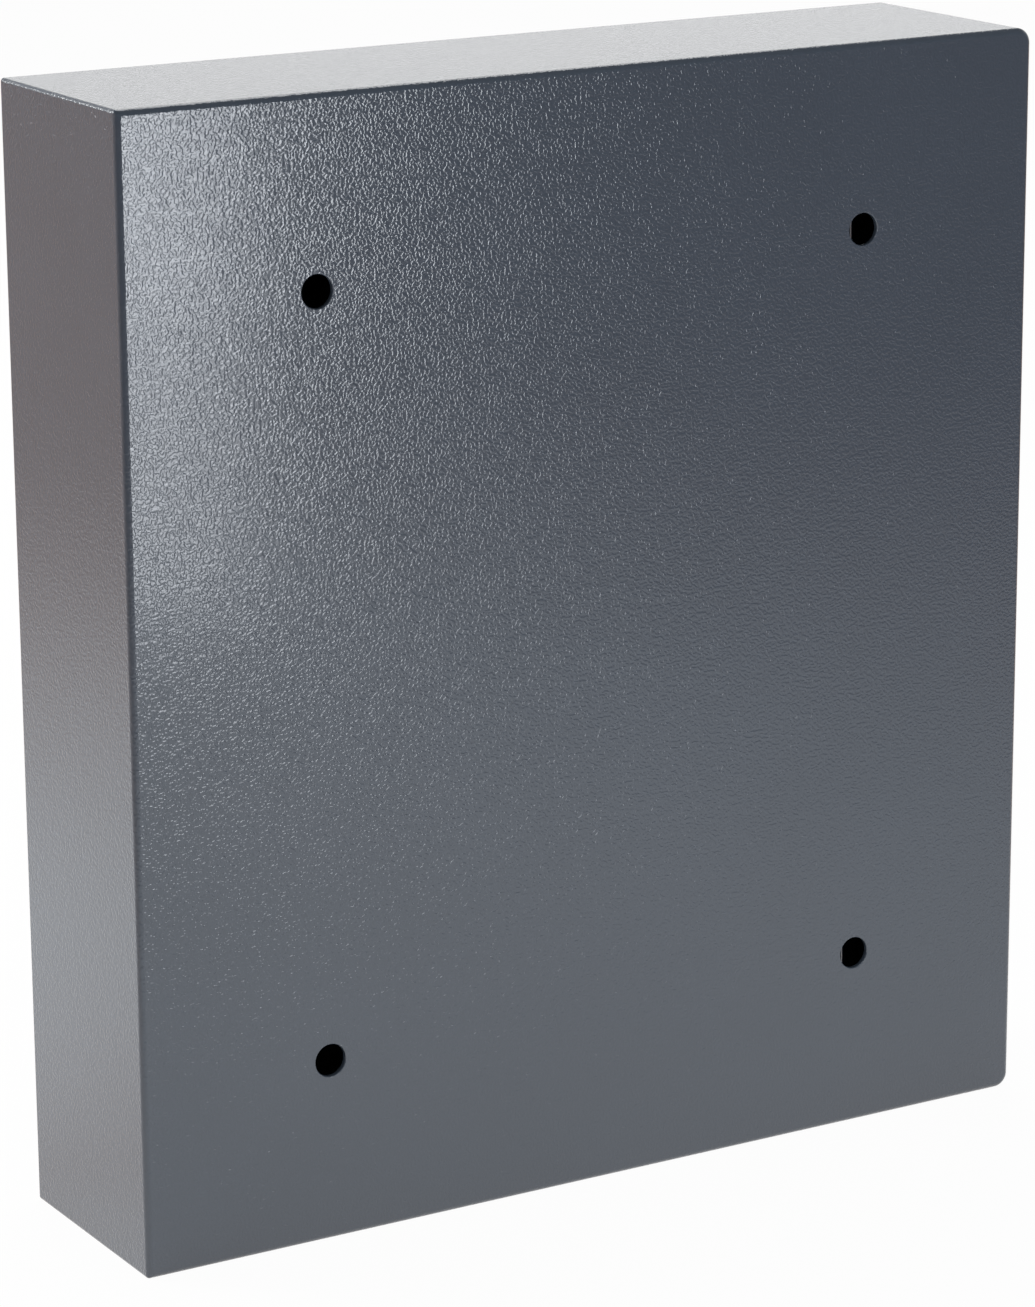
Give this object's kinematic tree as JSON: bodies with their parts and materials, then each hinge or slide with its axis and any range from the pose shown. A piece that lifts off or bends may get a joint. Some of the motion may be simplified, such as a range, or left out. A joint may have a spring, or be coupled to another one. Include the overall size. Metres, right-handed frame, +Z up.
{
  "type": "wall safe",
  "caption": "Slim wall safe: a folded steel shell in textured slate coating with fixing holes in its back, and a hinged door with a keypad, turn knob, sliding bolts and an inner lock cover.",
  "frame": {"origin": "centre of the back face, which lies against the wall", "axes": "+Y out of the back face into the wall, +Z up, +X to the right of someone who stands in front of the door"},
  "size_m": [0.33, 0.1117, 0.365],
  "materials": {
    "slate_coat": "satin powder coat with a fine leather texture",
    "zinc_steel": "zinc plated",
    "bright_steel": "turned bright steel",
    "black_plastic": "fine spark texture",
    "key_grey": "satin moulded keys with dark digits",
    "brass": "turned brass",
    "board_green": "lacquered circuit board",
    "window_smoke": "smoked clear plastic",
    "coil_tape": "amber tape over copper windings",
    "cell_sleeve": "printed sleeve over a metal can",
    "felt": "pressed felt",
    "lead_black": "soft cable jacket",
    "reset_red": "moulded"
  },
  "bodies": {
    "cabinet": {"body_shell": "slate_coat", "floor_mat": "felt", "upper_hinge_bracket": "slate_coat", "lower_hinge_bracket": "slate_coat", "upper_hinge_bush": "brass", "lower_hinge_bush": "brass"},
    "door": {"door_panel": "slate_coat", "upper_hinge_lug": "slate_coat", "lower_hinge_lug": "slate_coat", "upper_hinge_pin": "bright_steel", "lower_hinge_pin": "bright_steel", "bolt_guide": "zinc_steel", "upper_guide_stud": "bright_steel", "lower_guide_stud": "bright_steel", "spindle_bush": "brass", "keypad_housing": "black_plastic", "key_board": "board_green", "indicator_window": "window_smoke", "lock_barrel": "bright_steel", "lock_nut": "zinc_steel", "solenoid_frame": "zinc_steel", "solenoid_coil": "coil_tape", "solenoid_spring": "bright_steel", "lock_cover": "slate_coat", "cover_screw_1": "zinc_steel", "cover_screw_2": "zinc_steel", "cover_screw_3": "zinc_steel", "cover_screw_4": "zinc_steel", "battery_holder": "black_plastic", "battery_cell_1": "cell_sleeve", "battery_cell_2": "cell_sleeve", "battery_cell_3": "cell_sleeve", "battery_cell_4": "cell_sleeve", "keypad_lead": "lead_black"},
    "knob_set": {"knob": "black_plastic", "spindle": "bright_steel", "crank_disc": "zinc_steel", "crank_pin": "bright_steel"},
    "bolt_set": {"bolt_carriage": "zinc_steel", "upper_bolt": "bright_steel", "lower_bolt": "bright_steel"},
    "plunger": {"solenoid_plunger": "bright_steel"},
    "plug_set": {"lock_plug": "brass", "lock_cam": "zinc_steel"},
    "cap": {"key_cap": "black_plastic"},
    "battery_lid": {"battery_cover": "black_plastic"},
    "reset": {"reset_button": "reset_red"},
    "pad_key_0": {"key_0": "key_grey"},
    "pad_key_1": {"key_1": "key_grey"},
    "pad_key_2": {"key_2": "key_grey"},
    "pad_key_3": {"key_3": "key_grey"},
    "pad_key_4": {"key_4": "key_grey"},
    "pad_key_5": {"key_5": "key_grey"},
    "pad_key_6": {"key_6": "key_grey"},
    "pad_key_7": {"key_7": "key_grey"},
    "pad_key_8": {"key_8": "key_grey"},
    "pad_key_9": {"key_9": "key_grey"},
    "pad_key_left": {"key_left": "key_grey"},
    "pad_key_right": {"key_right": "key_grey"}
  },
  "joints": [
    {"name": "door_hinge", "type": "hinge", "parent": "cabinet", "child": "door", "pos_m": [0.127, -0.0715, 0], "axis": [0, 0, 1], "range_deg": [0, 110]},
    {"name": "knob_turn", "type": "hinge", "parent": "door", "child": "knob_set", "pos_m": [-0.045, -0.0903, -0.05], "axis": [0, -1, 0], "range_deg": [0, 90]},
    {"name": "bolt_slide", "type": "slide", "parent": "door", "child": "bolt_set", "axis": [-1, 0, 0], "range_m": [0, 0.015]},
    {"name": "plunger_slide", "type": "slide", "parent": "door", "child": "plunger", "axis": [0, 0, -1], "range_m": [0, 0.005], "deforming": ["solenoid_spring"]},
    {"name": "emergency_key_turn", "type": "hinge", "parent": "door", "child": "plug_set", "pos_m": [0.008, -0.08, -0.05], "axis": [0, 1, 0], "range_deg": [0, 90]},
    {"name": "cap_pull", "type": "slide", "parent": "door", "child": "cap", "axis": [0, -1, 0], "range_m": [0, 0.012]},
    {"name": "battery_lid_slide", "type": "slide", "parent": "door", "child": "battery_lid", "axis": [0, 0, 1], "range_m": [0, 0.012]},
    {"name": "reset_press", "type": "slide", "parent": "door", "child": "reset", "axis": [0, -1, 0], "range_m": [0, 0.0012], "stiffness_N_per_m": 150},
    {"name": "key_0_press", "type": "slide", "parent": "door", "child": "pad_key_0", "axis": [0, 1, 0], "range_m": [0, 0.0012], "stiffness_N_per_m": 300},
    {"name": "key_1_press", "type": "slide", "parent": "door", "child": "pad_key_1", "axis": [0, 1, 0], "range_m": [0, 0.0012], "stiffness_N_per_m": 300},
    {"name": "key_2_press", "type": "slide", "parent": "door", "child": "pad_key_2", "axis": [0, 1, 0], "range_m": [0, 0.0012], "stiffness_N_per_m": 300},
    {"name": "key_3_press", "type": "slide", "parent": "door", "child": "pad_key_3", "axis": [0, 1, 0], "range_m": [0, 0.0012], "stiffness_N_per_m": 300},
    {"name": "key_4_press", "type": "slide", "parent": "door", "child": "pad_key_4", "axis": [0, 1, 0], "range_m": [0, 0.0012], "stiffness_N_per_m": 300},
    {"name": "key_5_press", "type": "slide", "parent": "door", "child": "pad_key_5", "axis": [0, 1, 0], "range_m": [0, 0.0012], "stiffness_N_per_m": 300},
    {"name": "key_6_press", "type": "slide", "parent": "door", "child": "pad_key_6", "axis": [0, 1, 0], "range_m": [0, 0.0012], "stiffness_N_per_m": 300},
    {"name": "key_7_press", "type": "slide", "parent": "door", "child": "pad_key_7", "axis": [0, 1, 0], "range_m": [0, 0.0012], "stiffness_N_per_m": 300},
    {"name": "key_8_press", "type": "slide", "parent": "door", "child": "pad_key_8", "axis": [0, 1, 0], "range_m": [0, 0.0012], "stiffness_N_per_m": 300},
    {"name": "key_9_press", "type": "slide", "parent": "door", "child": "pad_key_9", "axis": [0, 1, 0], "range_m": [0, 0.0012], "stiffness_N_per_m": 300},
    {"name": "key_left_press", "type": "slide", "parent": "door", "child": "pad_key_left", "axis": [0, 1, 0], "range_m": [0, 0.0012], "stiffness_N_per_m": 300},
    {"name": "key_right_press", "type": "slide", "parent": "door", "child": "pad_key_right", "axis": [0, 1, 0], "range_m": [0, 0.0012], "stiffness_N_per_m": 300}
  ],
  "couplings": [
    {"joint": "knob_turn", "follows": "bolt_slide", "rad_per_m": 104.72},
    {"joint": "plunger_slide", "follows": "bolt_slide", "ratio": 0.33333}
  ]
}
